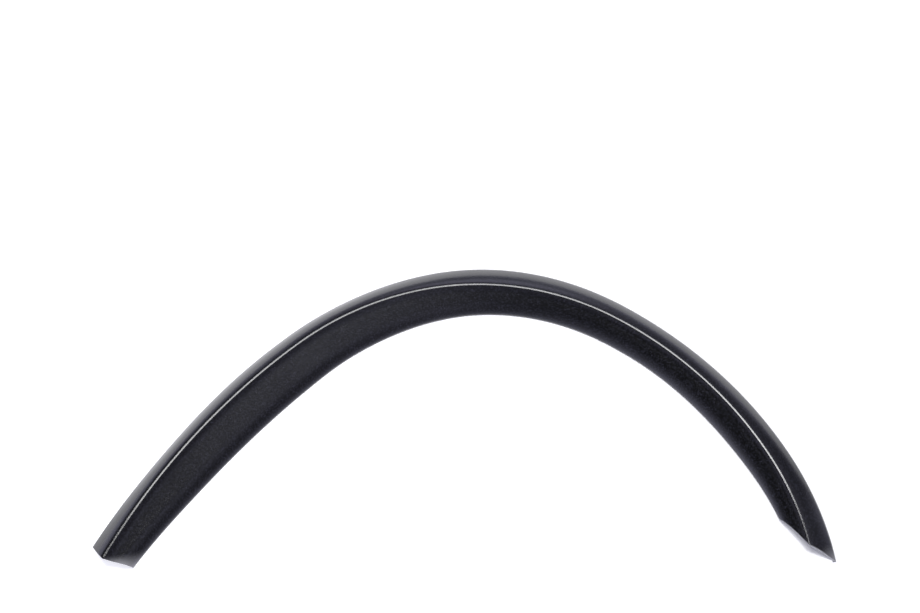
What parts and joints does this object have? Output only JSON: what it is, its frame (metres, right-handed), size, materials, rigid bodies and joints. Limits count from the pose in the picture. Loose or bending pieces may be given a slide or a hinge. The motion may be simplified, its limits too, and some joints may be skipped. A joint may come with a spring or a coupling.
{
  "type": "wheel arch trim",
  "caption": "Thin moulded trim strip that frames a car's wheel opening, an arch with a ridge along it, one square end and one pointed end.",
  "frame": {"origin": "middle of the bounding box in plan, at the level of the two rims that the part rests on", "axes": "+X from the square end to the pointed end, across the arch; +Y from the open ends to the crown; +Z out of the visible face, away from the car body"},
  "size_m": [0.8518, 0.3712, 0.0186],
  "materials": {
    "black_plastic": "fine grained black moulded plastic, satin"
  },
  "bodies": {
    "root": {"arch_trim": "black_plastic"}
  },
  "joints": []
}
